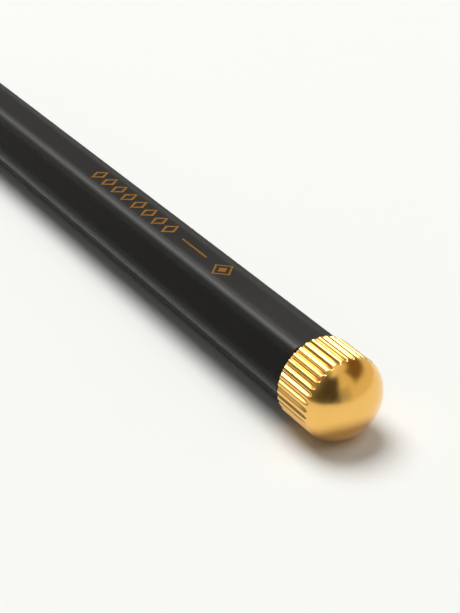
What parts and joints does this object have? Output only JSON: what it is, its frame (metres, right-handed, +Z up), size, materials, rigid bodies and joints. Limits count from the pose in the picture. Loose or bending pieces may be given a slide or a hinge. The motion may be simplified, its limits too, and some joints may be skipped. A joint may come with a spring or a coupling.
{
  "type": "twist ballpoint pen",
  "caption": "Slim hexagonal metal ballpoint pen: turning the grooved, domed knob at its end drives the refill point out of the nose.",
  "frame": {"origin": "under the middle of the pen's length, on the surface that the knob touches", "axes": "+X along the pen from nose to knob, +Z up through the barrel's top flat, +Y across the barrel's corners"},
  "size_m": [0.138, 0.0094, 0.0094],
  "materials": {
    "black_anodised": "satin black anodised",
    "gold_plate": "turned brass with a bright gold plate",
    "plain_brass": "turned, unplated",
    "steel": "bright",
    "carbide": "polished",
    "black_plastic": "moulded",
    "white_plastic": "moulded",
    "rubber": "matt",
    "ink": "wet"
  },
  "bodies": {
    "pen_body": {"barrel": "black_anodised", "nose_cone": "gold_plate", "bearing_bush": "plain_brass", "guide_sleeve": "plain_brass", "retaining_ring": "steel", "knob_washer": "black_plastic", "thrust_washer": "steel", "return_spring": "steel"},
    "knob": {"twist_knob": "gold_plate", "knob_spindle": "plain_brass", "friction_o_ring": "rubber", "cam_sleeve": "white_plastic"},
    "refill": {"plunger": "black_plastic", "follower_pin": "steel", "refill_end_plug": "black_plastic", "refill_tube": "steel", "ink_column": "ink", "refill_coupling": "plain_brass", "refill_point": "steel"},
    "ball": {"refill_ball": "carbide"}
  },
  "joints": [
    {"name": "knob_twist", "type": "hinge", "parent": "pen_body", "child": "knob", "pos_m": [0.061, 0, 0.00472], "axis": [-1, 0, 0], "range_deg": [0, 180]},
    {"name": "refill_slide", "type": "slide", "parent": "pen_body", "child": "refill", "axis": [-1, 0, 0], "range_m": [0, 0.005], "deforming": ["return_spring"]},
    {"name": "ball_roll", "type": "hinge", "parent": "refill", "child": "ball", "pos_m": [-0.0667, 0, 0.00472], "axis": [0, 1, 0], "continuous": true}
  ],
  "couplings": [
    {"joint": "knob_twist", "follows": "refill_slide", "rad_per_m": 628.32}
  ]
}
